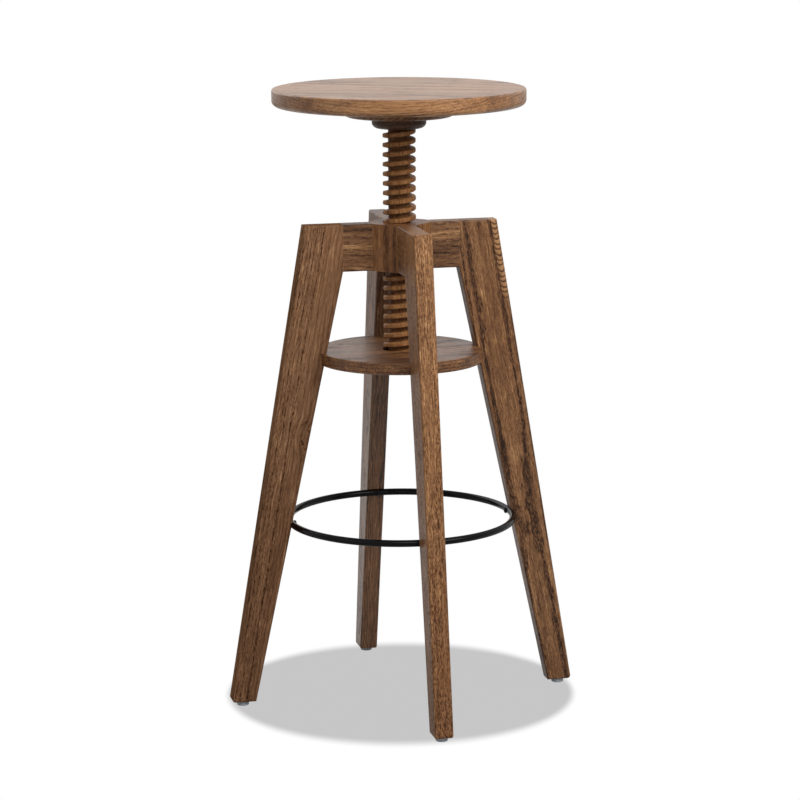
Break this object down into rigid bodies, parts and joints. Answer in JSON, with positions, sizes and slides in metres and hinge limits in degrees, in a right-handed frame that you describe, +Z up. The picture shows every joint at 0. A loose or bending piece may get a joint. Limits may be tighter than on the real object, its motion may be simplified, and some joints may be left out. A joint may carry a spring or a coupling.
{
  "type": "adjustable swivel stool",
  "caption": "Round-seated wooden screw stool: splayed legs, threaded hub, guide shelf and steel foot ring. Turning the seat sets its height.",
  "frame": {"origin": "on the floor, on the wooden screw's axis", "axes": "+Z up; the legs stand along +X, +Y, -X and -Y, with the front leg along -Y"},
  "size_m": [0.4656, 0.4656, 0.812],
  "materials": {
    "seat_wood": "brown stained open-pored hardwood, satin varnish",
    "frame_wood": "brown stained open-pored hardwood, satin varnish",
    "leg_wood": "brown stained open-pored hardwood, satin varnish",
    "shelf_wood": "brown stained hardwood, satin varnish",
    "spindle_wood": "turned and threaded hardwood, stained and waxed",
    "dowel_wood": "plain beech dowel, glued in",
    "ring_steel": "black satin powder coat",
    "screw_steel": "zinc plated steel",
    "glide_nylon": "pale grey nylon"
  },
  "bodies": {
    "base": {"hub_block": "frame_wood", "shelf_disc": "shelf_wood", "hub_dowels": "dowel_wood", "leg_dowels": "dowel_wood", "shelf_dowels": "dowel_wood", "foot_ring": "ring_steel", "ring_screws": "ring_steel", "glide_nails": "screw_steel", "arm_left": "frame_wood", "leg_left": "leg_wood", "glide_left": "glide_nylon", "arm_front": "frame_wood", "leg_front": "leg_wood", "glide_front": "glide_nylon", "arm_right": "frame_wood", "leg_right": "leg_wood", "glide_right": "glide_nylon", "arm_back": "frame_wood", "leg_back": "leg_wood", "glide_back": "glide_nylon"},
    "stop": {"stop_washer": "screw_steel"},
    "seat": {"seat_board": "seat_wood", "seat_plate": "frame_wood", "seat_plate_screws": "screw_steel", "spindle_collar": "frame_wood", "spindle": "spindle_wood", "spindle_lag_screw": "screw_steel", "lag_washer": "screw_steel", "stop_screw": "screw_steel"}
  },
  "joints": [
    {"name": "seat_lift", "type": "slide", "parent": "base", "child": "stop", "axis": [0, 0, 1], "range_m": [-0.119, 0]},
    {"name": "seat_turn", "type": "hinge", "parent": "stop", "child": "seat", "pos_m": [0, 0, 0.7], "axis": [0, 0, 1], "range_deg": [-3420, 0]}
  ],
  "couplings": [
    {"joint": "seat_lift", "follows": "seat_turn", "m_per_rad": 0.0019894}
  ]
}
